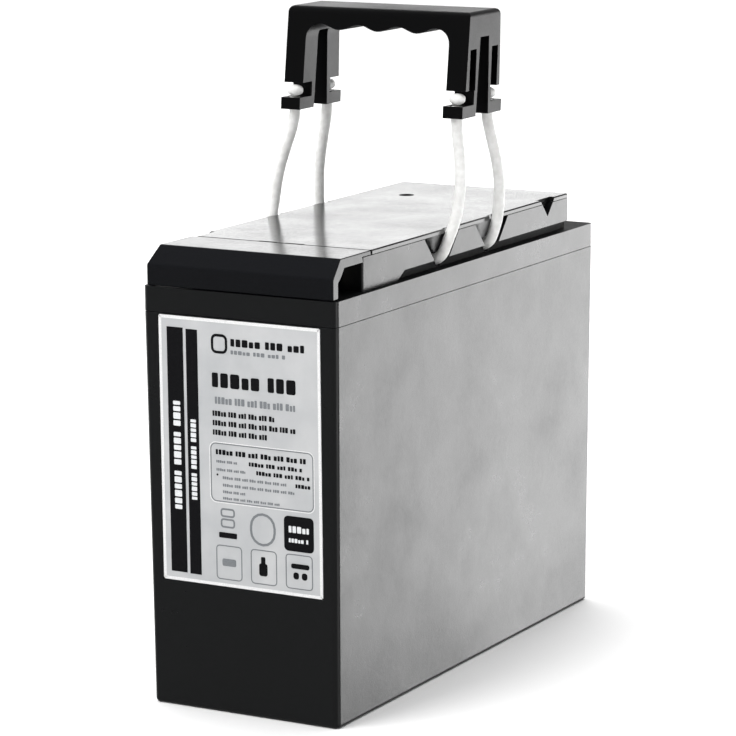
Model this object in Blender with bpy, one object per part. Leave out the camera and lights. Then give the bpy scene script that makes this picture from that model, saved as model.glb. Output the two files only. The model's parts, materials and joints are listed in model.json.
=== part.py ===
"""A front-terminal deep cycle battery with a rope-slung carrying handle.

Blender 4.5, metres, +Z up. The origin is the middle of the underside. -Y is the narrow front
end with the label and the terminals, and +X is the right side. The six cells run back along
the left side and forward along the right, so that both terminals come out at the front.
"""

import math

import bmesh
import bpy
from mathutils import Matrix, Vector

# Fits and small clearances
GAP = 0.0003  # between faces that rest on or beside each other
ROPE_CLEARANCE = 0.0005  # round a rope in its hole or slot
PIN_CLEARANCE = 0.0003  # round a bolt or a post in its hole

# Case
CASE_WIDTH = 0.106
CASE_LENGTH = 0.278
CASE_HEIGHT = 0.1937
CASE_DRAFT = 0.0015  # how much narrower each side is at the bottom
CASE_CORNER = 0.003
CASE_FOOT_RADIUS = 0.002
CASE_WALL = 0.003
CASE_FLOOR = 0.004
PARTITION = 0.0025
CELL_ROWS = 3

# Lid
BAND_HEIGHT = 0.0120
LID_FLOOR = 0.0035
LID_WALL = 0.0035
BLOCK_INSET = 0.0035  # from the case's side to the raised block's side
BLOCK_HEIGHT = 0.0162
BLOCK_FRONT_SPACE = 0.0315  # terminal bay, from the case's front to the block
BLOCK_BACK_SPACE = 0.0230
BLOCK_WALL = 0.0040
BLOCK_CORNER = 0.0015
STRIP_HEIGHT = 0.0043  # shadow gap under the block's side skirt
STRIP_DEPTH = 0.0027
STRIP_START = 0.0345  # from the block's front to the foot of the slope
STRIP_SLOPE = 0.0075
NECK_RADIUS = 0.0085
NECK_BORE = 0.0060
NECK_HEIGHT = 0.0105

# Rope pockets and pry notches in the block's sides
POCKET_Y = 0.0270
POCKET_TOP_HALF = 0.0180
POCKET_BOTTOM_HALF = 0.0075
POCKET_DEPTH = 0.0052
POCKET_BACKING = 0.0028
NOTCH_Y = 0.0910
NOTCH_TOP_HALF = 0.0084
NOTCH_HEIGHT = 0.0092
NOTCH_DEPTH = 0.0028

# Top plate and its vent
PLATE_THICKNESS = 0.0022
PLATE_EDGE = 0.0006
COVER_OVERHANG = 0.0082  # how far the terminal cover lies over the block
LATCH_SLOT_X = 0.0075
LATCH_SLOT_LENGTH = 0.0100
LATCH_SLOT_WIDTH = 0.0016
VENT_X = -0.0230
VENT_Y = 0.0710
VENT_HOLE = 0.0040
VENT_HEAD_RADIUS = 0.0052
VENT_HEAD_HEIGHT = 0.0008
ARRESTOR_HEIGHT = 0.0025

# Terminal cover
COVER_WALL = 0.0022
COVER_INSET_FRONT = 0.0010
COVER_INSET_SIDE = 0.0020
COVER_FACE_HEIGHT = 0.0101
COVER_SLOPE_DEPTH = 0.0097
COVER_RIM = 0.0050  # frame left round each cable opening
COVER_ROUND = 0.0020

# Terminals
TERMINAL_X = 0.0300
TERMINAL_BLOCK = (0.0160, 0.0100, 0.0132)
TERMINAL_Y = 0.0220  # from the case's front to the middle of each terminal
POST_RADIUS = 0.0044
SEAL_RADIUS = 0.0085
SEAL_HEIGHT = 0.0042
BOLT_RADIUS = 0.0030
BOLT_LENGTH = 0.0100
HEAD_ACROSS_FLATS = 0.0100
HEAD_HEIGHT = 0.0040
WASHER_RADIUS = 0.0060
WASHER_THICKNESS = 0.0012
LUG_ROOM = 0.0025  # left between each washer and its block, for a cable lug

# Plates, separators and straps of one cell
POSITIVE_PLATES = 4
POSITIVE_THICKNESS = 0.0034
NEGATIVE_THICKNESS = 0.0024
PLATE_LENGTH = 0.0820
PLATE_HEIGHT = 0.1660
SEPARATOR_TURN = 0.0016
SEPARATOR_RISE = 0.0030
LUG_LENGTH = 0.0080
LUG_HEIGHT = 0.0100
STRAP_Y = 0.0340
STRAP_LENGTH = 0.0100
STRAP_HEIGHT = 0.0065
LINK_WIDTH = 0.0120
LINK_HEIGHT = 0.0055

# Valve caps
CAP_WALL = 0.0014
CAP_TOP = 0.0016
CAP_LENGTH = 0.0090

# Handle
HANDLE_Y = 0.0122  # middle of the feet
HANDLE_LEAN = 0.0045  # how much further back the grip's top sits
HANDLE_HALF_WIDTH = 0.0516
LEG_WIDTH = 0.0110
LEG_DEPTH = 0.0125
FOOT_BOTTOM = 0.2770
FOOT_HEIGHT = 0.0060
NOTCH_GAP = 0.0072  # window above each foot, for the rope's stop
HANDLE_TOP = 0.3285
GRIP_THICKNESS = 0.0098
GRIP_WAVE = 0.0015
FINGER_PITCH = 0.0220
HALF_DEPTH_TOP = 0.0164
HALF_DEPTH_BOTTOM = 0.0184
HALF_DEPTH_FOOT = 0.0211
FOOT_LIP = 0.0012  # left of each foot in front of its rope hole
HANDLE_ROUND = 0.0030
ARCH_RADIUS = 0.0075
LEG_WEB = 0.0030
LEG_CHANNEL_HEIGHT = 0.0200
LEG_CHANNEL_DEPTH = 0.0060

# Ropes and their stops
ROPE_DIAMETER = 0.0058
ROPE_Y = 0.0260  # where each rope crosses the lid
STOP_RADIUS = 0.0042
STOP_HEIGHT = 0.0058

# Label
LABEL_WIDTH = 0.0886
LABEL_BOTTOM = 0.0630
LABEL_TOP = 0.1930
LABEL_THICKNESS = 0.0003
LABEL_RECESS = 0.0005

# Heights and planes that follow from the sizes above
LID_BOTTOM = CASE_HEIGHT + GAP
LEDGE = LID_BOTTOM + BAND_HEIGHT
BLOCK_TOP = LEDGE + BLOCK_HEIGHT
PLATE_TOP = BLOCK_TOP + GAP + PLATE_THICKNESS
HALF_WIDTH = CASE_WIDTH / 2
FRONT = -CASE_LENGTH / 2
BACK = CASE_LENGTH / 2
BLOCK_HALF = HALF_WIDTH - BLOCK_INSET
BLOCK_FRONT = FRONT + BLOCK_FRONT_SPACE
BLOCK_BACK = BACK - BLOCK_BACK_SPACE
COVER_BACK = BLOCK_FRONT + COVER_OVERHANG
CELL_WIDTH = HALF_WIDTH - CASE_DRAFT - CASE_WALL - PARTITION / 2
CELL_LENGTH = (CASE_LENGTH - 2 * (CASE_DRAFT + CASE_WALL) - (CELL_ROWS - 1) * PARTITION) / CELL_ROWS
CELL_X = PARTITION / 2 + CELL_WIDTH / 2
CELL_PITCH = CELL_LENGTH + PARTITION
PLATE_BOTTOM = CASE_FLOOR + GAP
STRAP_BOTTOM = PLATE_BOTTOM + PLATE_HEIGHT + LUG_HEIGHT - STRAP_HEIGHT / 2
STRAP_TOP = STRAP_BOTTOM + STRAP_HEIGHT
BOLT_Z = LEDGE + GAP * 3 + TERMINAL_BLOCK[2] / 2

# The right half of each rope: out through the lid's side, up round the plate and into the foot
FRONT_ROUTE = [
    (0.0, -0.0260, 0.2097), (0.0150, -0.0260, 0.2097), (0.0300, -0.0260, 0.2097),
    (0.0400, -0.0260, 0.2097), (0.0452, -0.0260, 0.2097), (0.0486, -0.0250, 0.2124),
    (0.0504, -0.0225, 0.2185), (0.0514, -0.0196, 0.2240), (0.0520, -0.0160, 0.2315),
    (0.0520, -0.0130, 0.2410), (0.0512, -0.0104, 0.2495), (0.0493, -0.0079, 0.2585),
    (0.0473, -0.0058, 0.2670), (0.0462, -0.0047, 0.2745), (0.0461, -0.0045, 0.2828),
]  # fmt: skip
BACK_ROUTE = [
    (0.0, 0.0260, 0.2097), (0.0150, 0.0260, 0.2097), (0.0300, 0.0260, 0.2097),
    (0.0400, 0.0260, 0.2097), (0.0452, 0.0260, 0.2097), (0.0488, 0.0266, 0.2124),
    (0.0507, 0.0279, 0.2185), (0.0517, 0.0289, 0.2240), (0.0521, 0.0297, 0.2315),
    (0.0521, 0.0300, 0.2410), (0.0511, 0.0299, 0.2495), (0.0493, 0.0294, 0.2585),
    (0.0474, 0.0288, 0.2670), (0.0462, 0.0282, 0.2745), (0.0461, 0.0285, 0.2828),
]  # fmt: skip
PLATE_NOTCHES = ((-0.0198, 0.0043), (0.0288, 0.0043))  # where each rope passes, and half the width
PLATE_NOTCH_DEPTH = 0.0018

# Colour, roughness and metallic value of each finish
FINISHES = {
    "case_black": ((0.030, 0.032, 0.034), 0.28, 0.0),
    "lid_black": ((0.026, 0.028, 0.030), 0.25, 0.0),
    "plate_black": ((0.026, 0.028, 0.030), 0.20, 0.0),
    "cover_black": ((0.022, 0.024, 0.026), 0.25, 0.0),
    "handle_black": ((0.018, 0.018, 0.020), 0.32, 0.0),
    "rope_white": ((0.850, 0.850, 0.840), 0.55, 0.0),
    "label_silver": ((0.640, 0.650, 0.660), 0.35, 0.2),
    "lead": ((0.330, 0.340, 0.360), 0.45, 0.9),
    "positive_paste": ((0.170, 0.090, 0.060), 0.80, 0.0),
    "negative_paste": ((0.300, 0.310, 0.330), 0.70, 0.2),
    "glass_mat": ((0.880, 0.880, 0.860), 0.90, 0.0),
    "valve_rubber": ((0.040, 0.040, 0.042), 0.60, 0.0),
    "positive_mark": ((0.550, 0.020, 0.020), 0.45, 0.0),
    "negative_mark": ((0.020, 0.050, 0.300), 0.45, 0.0),
    "tinned_brass": ((0.720, 0.700, 0.640), 0.25, 1.0),
    "steel": ((0.620, 0.620, 0.630), 0.30, 1.0),
    "vent_grey": ((0.100, 0.100, 0.105), 0.50, 0.0),
    "sintered": ((0.760, 0.750, 0.720), 0.85, 0.0),
}

ALONG_X = Matrix(((0, 0, 1), (1, 0, 0), (0, 1, 0)))  # outline in Y and Z, thickness along X
ALONG_Y = Matrix(((1, 0, 0), (0, 0, -1), (0, 1, 0)))  # outline in X and Z, thickness along Y


def clear_scene():
    for old in list(bpy.data.objects):
        bpy.data.objects.remove(old, do_unlink=True)


def collection(name):
    made = bpy.data.collections.new(name)
    bpy.context.scene.collection.children.link(made)
    return made


def finish(name):
    material = bpy.data.materials.get(name)
    if material is None:
        colour, roughness, metallic = FINISHES[name]
        material = bpy.data.materials.new(name)
        material.use_nodes = True
        shader = material.node_tree.nodes["Principled BSDF"]
        shader.inputs["Base Color"].default_value = (*colour, 1.0)
        shader.inputs["Roughness"].default_value = roughness
        shader.inputs["Metallic"].default_value = metallic
    return material


# Pieces of mesh


def add_box(bm, low, high):
    """Adds a box between two corners and returns its vertices."""
    low, high = Vector(low), Vector(high)
    verts = bmesh.ops.create_cube(bm, size=1.0)["verts"]
    bmesh.ops.scale(bm, vec=high - low, verts=verts)
    bmesh.ops.translate(bm, vec=(low + high) / 2, verts=verts)
    return verts


def add_rod(bm, radius, start, end, sides=24, end_radius=None):
    """Adds a cylinder or cone between two points and returns its vertices."""
    start, end = Vector(start), Vector(end)
    way = end - start
    turn = way.to_track_quat("Z", "Y").to_matrix().to_4x4()
    return bmesh.ops.create_cone(
        bm,
        cap_ends=True,
        segments=sides,
        radius1=radius,
        radius2=radius if end_radius is None else end_radius,
        depth=way.length,
        matrix=Matrix.Translation((start + end) / 2) @ turn,
    )["verts"]


def add_disc(bm, radius, x, y, low, high, sides=24):
    return add_rod(bm, radius, (x, y, low), (x, y, high), sides)


def add_prism(bm, outline, turn, low, high):
    """Adds a flat outline, thickened from low to high along the axis that turn gives it."""
    curve = bpy.data.curves.new("outline", "CURVE")
    curve.dimensions = "2D"
    curve.fill_mode = "BOTH"
    curve.extrude = (high - low) / 2
    spline = curve.splines.new("POLY")
    spline.points.add(len(outline) - 1)
    for point, (u, v) in zip(spline.points, outline):
        point.co = (u, v, 0.0, 1.0)
    spline.use_cyclic_u = True
    holder = bpy.data.objects.new("outline", curve)
    bpy.context.scene.collection.objects.link(holder)
    graph = bpy.context.evaluated_depsgraph_get()
    mesh = bpy.data.meshes.new_from_object(holder.evaluated_get(graph))
    bpy.data.objects.remove(holder)
    slab = bmesh.new()
    slab.from_mesh(mesh)
    bmesh.ops.remove_doubles(slab, verts=slab.verts, dist=1e-7)
    bmesh.ops.recalc_face_normals(slab, faces=slab.faces)
    middle = turn @ Vector((0.0, 0.0, (low + high) / 2))
    slab.transform(Matrix.Translation(middle) @ turn.to_4x4())
    slab.to_mesh(mesh)
    slab.free()
    bm.from_mesh(mesh)


def round_edges(bm, edges, radius, segments):
    bmesh.ops.bevel(
        bm,
        geom=list(edges),
        offset=radius,
        segments=segments,
        profile=0.5,
        affect="EDGES",
        clamp_overlap=True,
        material=-1,
    )


def upright_edges(bm):
    return [e for e in bm.edges if abs(e.verts[0].co.z - e.verts[1].co.z) > 1e-5 and e.is_manifold]


def level_edges(bm, height):
    return [e for e in bm.edges if all(abs(v.co.z - height) < 1e-6 for v in e.verts)]


def filleted(corners, steps=4):
    """An outline through (u, v, radius) corners, with each corner rounded to its radius."""
    points = []
    count = len(corners)
    for i, (u, v, radius) in enumerate(corners):
        corner = Vector((u, v))
        back = Vector(corners[i - 1][:2]) - corner
        ahead = Vector(corners[(i + 1) % count][:2]) - corner
        if radius == 0.0:
            points.append((u, v))
            continue
        back.normalize()
        ahead.normalize()
        half = back.angle(ahead) / 2
        centre = corner + (back + ahead).normalized() * (radius / math.sin(half))
        start = corner + back * (radius / math.tan(half)) - centre
        end = corner + ahead * (radius / math.tan(half)) - centre
        sweep = start.angle_signed(end)
        for step in range(steps + 1):
            turned = Matrix.Rotation(-sweep * step / steps, 2) @ start
            points.append(tuple(centre + turned))
    return points


# Objects


def new_object(name, bm, group, material=None):
    mesh = bpy.data.meshes.new(name)
    bm.to_mesh(mesh)
    bm.free()
    return hold(name, mesh, group, material)


def hold(name, mesh, group, material=None):
    made = bpy.data.objects.new(name, mesh)
    group.objects.link(made)
    if material:
        mesh.materials.clear()
        mesh.materials.append(finish(material))
    return made


def helper(name, bm):
    """A cutter or a piece to be joined, which is never a part itself."""
    made = new_object(name, bm, CUTTERS)
    made.hide_render = True
    made.display_type = "WIRE"
    return made


def combine(target, other, operation):
    modifier = target.modifiers.new(other.name, "BOOLEAN")
    modifier.operation = operation
    modifier.solver = "EXACT"
    modifier.object = other


def cut(target, name, build):
    combine(target, shape(name, build), "DIFFERENCE")


def join(target, name, build):
    combine(target, shape(name, build), "UNION")


def shape(name, build):
    bm = bmesh.new()
    build(bm)
    return helper(name, bm)


def part(name, material, build):
    bm = bmesh.new()
    build(bm)
    return new_object(name, bm, PARTS, material)


def settle(target, smooth=None):
    """Applies the modifiers, and shades the piece smooth up to an angle in degrees."""
    graph = bpy.context.evaluated_depsgraph_get()
    mesh = bpy.data.meshes.new_from_object(target.evaluated_get(graph))
    target.modifiers.clear()
    target.data = mesh
    if smooth:
        mesh.shade_smooth()
        mesh.set_sharp_from_angle(angle=math.radians(smooth))
    return target


def sides():
    return (-1, 1)


# Case


def cell_rows():
    return [(row - (CELL_ROWS - 1) / 2) * CELL_PITCH for row in range(CELL_ROWS)]


def case_shell(bm):
    add_box(bm, (-HALF_WIDTH, FRONT, 0.0), (HALF_WIDTH, BACK, CASE_HEIGHT))
    for vert in bm.verts:
        if vert.co.z < CASE_HEIGHT / 2:
            vert.co.x -= math.copysign(CASE_DRAFT, vert.co.x)
            vert.co.y -= math.copysign(CASE_DRAFT, vert.co.y)
    round_edges(bm, upright_edges(bm), CASE_CORNER, 3)
    round_edges(bm, level_edges(bm, 0.0), CASE_FOOT_RADIUS, 2)


def case_cells(bm):
    for side in sides():
        for y in cell_rows():
            add_box(
                bm,
                (side * CELL_X - CELL_WIDTH / 2, y - CELL_LENGTH / 2, CASE_FLOOR),
                (side * CELL_X + CELL_WIDTH / 2, y + CELL_LENGTH / 2, LEDGE),
            )


def link_spans():
    """The low and high corners of each intercell link, from the left front cell round."""
    low_z = (STRAP_BOTTOM + STRAP_TOP - LINK_HEIGHT) / 2
    high_z = low_z + LINK_HEIGHT
    reach = CELL_PITCH / 2 - STRAP_Y - STRAP_LENGTH / 2 - GAP
    rows = cell_rows()
    spans = []
    for side in sides():
        for front_row, back_row in zip(rows, rows[1:]):
            middle = (front_row + back_row) / 2
            low = (side * CELL_X - LINK_WIDTH / 2, middle - reach, low_z)
            spans.append((low, (side * CELL_X + LINK_WIDTH / 2, middle + reach, high_z)))
    strap_y = rows[-1] + STRAP_Y
    left = -CELL_X + negative_reach() + GAP
    right = CELL_X - positive_reach() - GAP
    half = STRAP_LENGTH / 2
    spans.append(((left, strap_y - half, low_z), (right, strap_y + half, high_z)))
    return spans


def link_windows(bm):
    for low, high in link_spans():
        add_box(bm, [v - GAP for v in low], [v + GAP for v in high])


def label_depth(height):
    """How far behind the front plane the drafted front face lies at a height."""
    return CASE_DRAFT * (1 - height / CASE_HEIGHT)


def label_slab(bm, width, bottom, top, outside, thickness):
    """A flat slab that follows the drafted front face. outside is how far it starts behind it."""
    for vert in add_box(bm, (-width / 2, 0.0, bottom), (width / 2, thickness, top)):
        vert.co.y += FRONT + label_depth(vert.co.z) + outside


def make_case():
    case = part("case", "case_black", case_shell)
    cut(case, "cell_cavities", case_cells)
    cut(case, "link_windows", link_windows)
    outside = LABEL_RECESS
    cut(
        case,
        "label_recess",
        lambda bm: label_slab(
            bm, LABEL_WIDTH + 2 * GAP, LABEL_BOTTOM - GAP, LABEL_TOP + GAP, -outside, 2 * outside
        ),
    )
    settle(case, 30)
    start = LABEL_RECESS - GAP / 3 - LABEL_THICKNESS
    part(
        "front_label",
        "label_silver",
        lambda bm: label_slab(bm, LABEL_WIDTH, LABEL_BOTTOM, LABEL_TOP, start, LABEL_THICKNESS),
    )


# Lid


def lid_band(bm):
    add_box(bm, (-HALF_WIDTH, FRONT, LID_BOTTOM), (HALF_WIDTH, BACK, LEDGE))
    round_edges(bm, upright_edges(bm), CASE_CORNER, 3)


def lid_block(bm):
    low = (-BLOCK_HALF, BLOCK_FRONT, LEDGE - LID_FLOOR / 2)
    add_box(bm, low, (BLOCK_HALF, BLOCK_BACK, BLOCK_TOP))
    round_edges(bm, upright_edges(bm), BLOCK_CORNER, 2)


def lid_underside(bm):
    low = (-HALF_WIDTH + LID_WALL, FRONT + LID_WALL, LID_BOTTOM - BAND_HEIGHT)
    add_box(bm, low, (HALF_WIDTH - LID_WALL, BACK - LID_WALL, LEDGE - LID_FLOOR))


def block_inside(bm):
    low = (-BLOCK_HALF + BLOCK_WALL, BLOCK_FRONT + BLOCK_WALL, LEDGE)
    high = (BLOCK_HALF - BLOCK_WALL, BLOCK_BACK - BLOCK_WALL, BLOCK_TOP + BLOCK_HEIGHT)
    add_box(bm, low, high)


def pocket_places():
    return [(side, way * POCKET_Y) for side in sides() for way in sides()]


def pocket_backs(bm):
    """The thicker wall behind each rope pocket."""
    half = POCKET_TOP_HALF + POCKET_BACKING
    for side, y in pocket_places():
        inner = side * (BLOCK_HALF - POCKET_DEPTH - POCKET_BACKING)
        outer = side * (BLOCK_HALF - STRIP_DEPTH - GAP)
        low = (min(inner, outer), y - half, LEDGE - LID_FLOOR / 2)
        add_box(bm, low, (max(inner, outer), y + half, BLOCK_TOP))


def side_span(side, depth):
    """The X range of a cut that goes depth into a side wall of the block, from well outside."""
    inner = side * (BLOCK_HALF - depth)
    outer = side * (BLOCK_HALF + depth)
    return min(inner, outer), max(inner, outer)


def pockets(bm):
    for side, y in pocket_places():
        grow = (POCKET_TOP_HALF - POCKET_BOTTOM_HALF) / (BLOCK_HEIGHT - STRIP_HEIGHT)
        over = BLOCK_HEIGHT / 4
        wide = POCKET_TOP_HALF + grow * over
        outline = [
            (y - POCKET_BOTTOM_HALF, LEDGE + STRIP_HEIGHT - GAP),
            (y + POCKET_BOTTOM_HALF, LEDGE + STRIP_HEIGHT - GAP),
            (y + wide, BLOCK_TOP + over),
            (y - wide, BLOCK_TOP + over),
        ]
        add_prism(bm, outline, ALONG_X, *side_span(side, POCKET_DEPTH))


def shadow_strips(bm):
    for side in sides():
        start = BLOCK_FRONT + STRIP_START
        outline = [
            (start, LEDGE),
            (BLOCK_BACK + STRIP_DEPTH, LEDGE),
            (BLOCK_BACK + STRIP_DEPTH, LEDGE + STRIP_HEIGHT),
            (start + STRIP_SLOPE, LEDGE + STRIP_HEIGHT),
        ]
        add_prism(bm, outline, ALONG_X, *side_span(side, STRIP_DEPTH))


def pry_notches(bm):
    """One V notch at the back of the right side, and one at the front of the left side."""
    slope = NOTCH_TOP_HALF / NOTCH_HEIGHT
    over = NOTCH_HEIGHT / 2
    for side in sides():
        y = side * NOTCH_Y
        wide = NOTCH_TOP_HALF + slope * over
        outline = [
            (y, PLATE_TOP - NOTCH_HEIGHT),
            (y + wide, PLATE_TOP + over),
            (y - wide, PLATE_TOP + over),
        ]
        add_prism(bm, outline, ALONG_X, *side_span(side, NOTCH_DEPTH))


def rope_holes(bm):
    radius = ROPE_DIAMETER / 2 + ROPE_CLEARANCE
    for side, y in pocket_places():
        height = FRONT_ROUTE[0][2]
        at = math.copysign(ROPE_Y, y)
        inner = side * (BLOCK_HALF - POCKET_DEPTH - 2 * POCKET_BACKING)
        add_rod(bm, radius, (inner, at, height), (side * (BLOCK_HALF + radius), at, height))


def cell_places():
    return [(side * CELL_X, y) for side in sides() for y in cell_rows()]


def necks(bm):
    for x, y in cell_places():
        add_disc(bm, NECK_RADIUS, x, y, LEDGE - LID_FLOOR / 2, LEDGE + NECK_HEIGHT)


def neck_bores(bm):
    for x, y in cell_places():
        add_disc(bm, NECK_BORE, x, y, LEDGE - 2 * LID_FLOOR, LEDGE + 2 * NECK_HEIGHT)


def post_holes(bm):
    for side in sides():
        x, y = side * TERMINAL_X, FRONT + TERMINAL_Y
        add_disc(bm, SEAL_RADIUS + PIN_CLEARANCE, x, y, LEDGE - 2 * LID_FLOOR, LEDGE + LID_FLOOR)


def make_lid():
    lid = part("lid", "lid_black", lid_band)
    join(lid, "raised_block", lid_block)
    cut(lid, "lid_underside", lid_underside)
    cut(lid, "block_inside", block_inside)
    join(lid, "pocket_backs", pocket_backs)
    join(lid, "valve_necks", necks)
    cut(lid, "neck_bores", neck_bores)
    cut(lid, "post_holes", post_holes)
    cut(lid, "shadow_strips", shadow_strips)
    cut(lid, "rope_pockets", pockets)
    cut(lid, "pry_notches", pry_notches)
    cut(lid, "rope_holes", rope_holes)
    settle(lid, 30)


def plate_blank(bm):
    low = (-BLOCK_HALF, COVER_BACK + GAP, BLOCK_TOP + GAP)
    add_box(bm, low, (BLOCK_HALF, BLOCK_BACK, PLATE_TOP))
    round_edges(bm, upright_edges(bm), BLOCK_CORNER, 2)
    round_edges(bm, level_edges(bm, PLATE_TOP), PLATE_EDGE, 1)


def plate_notches(bm):
    for side in sides():
        for y, half in PLATE_NOTCHES:
            low_x, high_x = side_span(side, PLATE_NOTCH_DEPTH)
            low = (low_x, y - half, BLOCK_TOP - PLATE_THICKNESS)
            add_box(bm, low, (high_x, y + half, PLATE_TOP + PLATE_THICKNESS))


def latch_slots(bm):
    for side in sides():
        x = side * LATCH_SLOT_X
        low = (x - LATCH_SLOT_LENGTH / 2, COVER_BACK - GAP, BLOCK_TOP - PLATE_THICKNESS)
        high_y = COVER_BACK + GAP + LATCH_SLOT_WIDTH
        high = (x + LATCH_SLOT_LENGTH / 2, high_y, PLATE_TOP + PLATE_THICKNESS)
        add_box(bm, low, high)


def make_top_plate():
    plate = part("top_plate", "plate_black", plate_blank)
    cut(plate, "plate_notches", plate_notches)
    cut(plate, "plate_pry_notches", pry_notches)
    cut(plate, "latch_slots", latch_slots)
    low, high = BLOCK_TOP - PLATE_THICKNESS, PLATE_TOP + PLATE_THICKNESS
    cut(plate, "vent_hole", lambda bm: add_disc(bm, VENT_HOLE, VENT_X, VENT_Y, low, high))
    settle(plate, 30)


def make_vent():
    def head(bm):
        low = PLATE_TOP + GAP
        add_disc(bm, VENT_HEAD_RADIUS, VENT_X, VENT_Y, low, low + VENT_HEAD_HEIGHT)

    def stem(bm):
        low, high = BLOCK_TOP + GAP, PLATE_TOP + GAP + VENT_HEAD_HEIGHT / 2
        add_disc(bm, VENT_HOLE - PIN_CLEARANCE, VENT_X, VENT_Y, low, high)

    plug = part("vent_plug", "vent_grey", head)
    join(plug, "vent_stem", stem)
    settle(plug, 30)
    high = BLOCK_TOP
    part(
        "flame_arrestor",
        "sintered",
        lambda bm: add_disc(
            bm, VENT_HEAD_RADIUS + GAP, VENT_X, VENT_Y, high - ARRESTOR_HEIGHT, high
        ),
    )


def make_valve_caps():
    inner = NECK_RADIUS + GAP
    outer = inner + CAP_WALL
    top = LEDGE + NECK_HEIGHT + GAP + CAP_TOP
    under = top - CAP_TOP
    bottom = top - CAP_LENGTH
    profile = [(0.0, under), (inner, under), (inner, bottom), (outer, bottom), (outer, top - CAP_TOP / 2),
               (outer - CAP_TOP / 2, top), (0.0, top)]  # fmt: skip
    bm = bmesh.new()
    verts = [bm.verts.new((radius, 0.0, height)) for radius, height in profile]
    edges = [bm.edges.new(pair) for pair in zip(verts, verts[1:])]
    bmesh.ops.spin(
        bm,
        geom=verts + edges,
        cent=(0, 0, 0),
        axis=(0, 0, 1),
        angle=2 * math.pi,
        steps=20,
        use_merge=True,
    )
    bmesh.ops.remove_doubles(bm, verts=bm.verts, dist=1e-6)
    bmesh.ops.recalc_face_normals(bm, faces=bm.faces)
    mesh = bpy.data.meshes.new("valve_cap")
    bm.to_mesh(mesh)
    bm.free()
    mesh.materials.append(finish("valve_rubber"))
    mesh.shade_smooth()
    mesh.set_sharp_from_angle(angle=math.radians(35))
    for number, (x, y) in enumerate(cell_tour(), 1):
        cap = hold(f"valve_cap_{number}", mesh, PARTS)
        cap.location = (x, y, 0.0)


# Terminal cover


def cover_face_top():
    return LEDGE + GAP + COVER_FACE_HEIGHT


def cover_outline():
    front = FRONT + COVER_INSET_FRONT
    return filleted(
        [
            (front, LEDGE + GAP, 0.0),
            (COVER_BACK, LEDGE + GAP, 0.0),
            (COVER_BACK, PLATE_TOP, PLATE_EDGE),
            (front + COVER_SLOPE_DEPTH, PLATE_TOP, COVER_ROUND),
            (front, cover_face_top(), COVER_ROUND),
        ]
    )


def cover_cavity():
    """The space under the cover, a wall's thickness inside it."""
    front = FRONT + COVER_INSET_FRONT + COVER_WALL
    under = PLATE_TOP - COVER_WALL
    return [
        (front, LEDGE - COVER_WALL),
        (COVER_BACK + COVER_WALL, LEDGE - COVER_WALL),
        (COVER_BACK + COVER_WALL, under),
        (front + COVER_SLOPE_DEPTH - COVER_WALL / 2, under),
        (front, cover_face_top() - COVER_WALL / 2),
    ]


def cable_opening():
    """The opening in each end of the cover, with a rim left at the front and along the top."""
    front = FRONT + COVER_INSET_FRONT + COVER_RIM
    top = PLATE_TOP - COVER_RIM + GAP
    back = BLOCK_FRONT - GAP
    under = PLATE_TOP - COVER_WALL
    return [
        (front, LEDGE - COVER_WALL),
        (COVER_BACK + COVER_WALL, LEDGE - COVER_WALL),
        (COVER_BACK + COVER_WALL, under),
        (back, under),
        (back, top),
        (front + COVER_SLOPE_DEPTH - COVER_RIM / 2, top),
        (front, cover_face_top() - COVER_RIM / 2),
    ]


def make_terminal_cover():
    half = HALF_WIDTH - COVER_INSET_SIDE
    cover = part(
        "terminal_cover",
        "cover_black",
        lambda bm: add_prism(bm, cover_outline(), ALONG_X, -half, half),
    )
    inner = half - COVER_WALL
    cut(cover, "cover_cavity", lambda bm: add_prism(bm, cover_cavity(), ALONG_X, -inner, inner))
    outer = half + COVER_WALL
    cut(cover, "cable_openings", lambda bm: add_prism(bm, cable_opening(), ALONG_X, -outer, outer))

    def side_slopes(bm):
        """Trims the cover's ends in to the top plate's width."""
        for side in sides():
            outline = [
                (side * half, cover_face_top()),
                (side * (half + COVER_RIM), cover_face_top()),
                (side * (half + COVER_RIM), PLATE_TOP + COVER_WALL),
                (side * (BLOCK_HALF - GAP), PLATE_TOP + COVER_WALL),
                (side * BLOCK_HALF, PLATE_TOP),
            ]
            add_prism(bm, outline[:: side], ALONG_Y, -BACK, -FRONT)

    cut(cover, "side_slopes", side_slopes)
    settle(cover, 30)


# Terminals


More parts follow.
